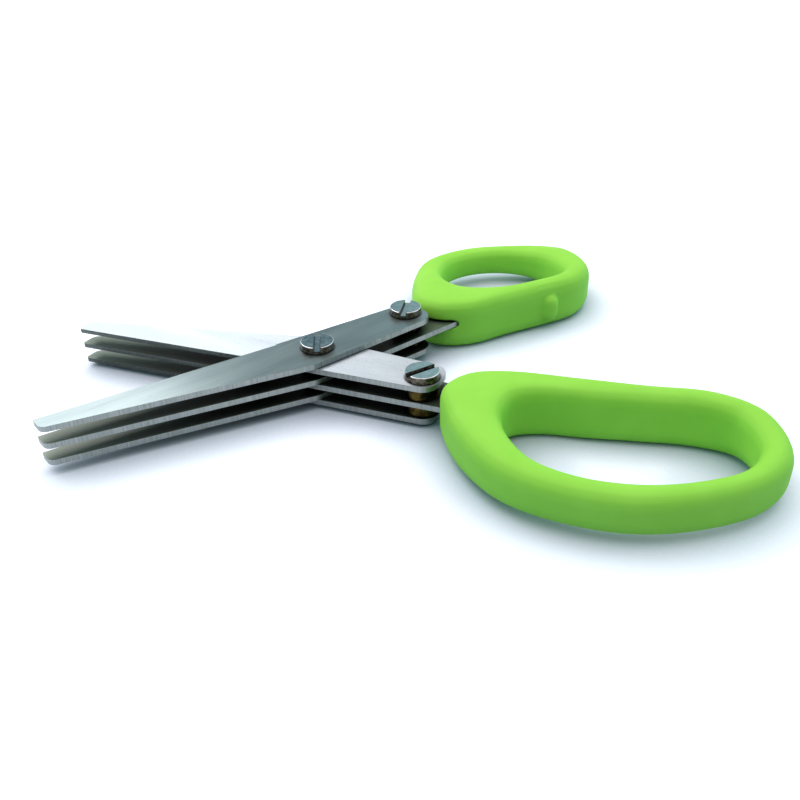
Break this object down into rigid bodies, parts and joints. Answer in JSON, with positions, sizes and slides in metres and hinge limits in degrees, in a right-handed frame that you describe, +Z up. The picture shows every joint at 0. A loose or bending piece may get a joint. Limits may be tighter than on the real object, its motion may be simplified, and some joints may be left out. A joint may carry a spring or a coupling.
{
  "type": "herb scissors",
  "caption": "Herb scissors: stacked parallel blades on each half interleave and turn on a central screw, with looped plastic handles for fingers and thumb, shown open.",
  "frame": {"origin": "on the pivot axis, at the underside of the pivot nut, which lies in the plane that the scissors rest on", "axes": "+X from the pivot to the handles along the centre line, -X to the blade tips, +Z up along the pivot axis, -Y the finger handle's side"},
  "size_m": [0.169, 0.1441, 0.0158],
  "materials": {
    "blade_steel": "fine brushed satin",
    "screw_steel": "polished",
    "spacer_brass": "dull, dark",
    "handle_plastic": "satin"
  },
  "bodies": {
    "finger_half": {"finger_top_blade": "blade_steel", "finger_middle_blade": "blade_steel", "finger_bottom_blade": "blade_steel", "finger_upper_spacer": "spacer_brass", "finger_lower_spacer": "spacer_brass", "finger_clamp_screw": "screw_steel", "finger_clamp_nut": "screw_steel", "finger_handle": "handle_plastic", "pivot_screw": "screw_steel", "pivot_nut": "screw_steel", "pivot_upper_spacer": "spacer_brass", "pivot_lower_spacer": "spacer_brass"},
    "thumb_half": {"thumb_top_blade": "blade_steel", "thumb_middle_blade": "blade_steel", "thumb_bottom_blade": "blade_steel", "thumb_upper_spacer": "spacer_brass", "thumb_lower_spacer": "spacer_brass", "thumb_clamp_screw": "screw_steel", "thumb_clamp_nut": "screw_steel", "thumb_handle": "handle_plastic"}
  },
  "joints": [
    {"name": "blade_pivot", "type": "hinge", "parent": "finger_half", "child": "thumb_half", "pos_m": [0, 0, 0], "axis": [0, 0, 1], "range_deg": [-41, 24]}
  ]
}
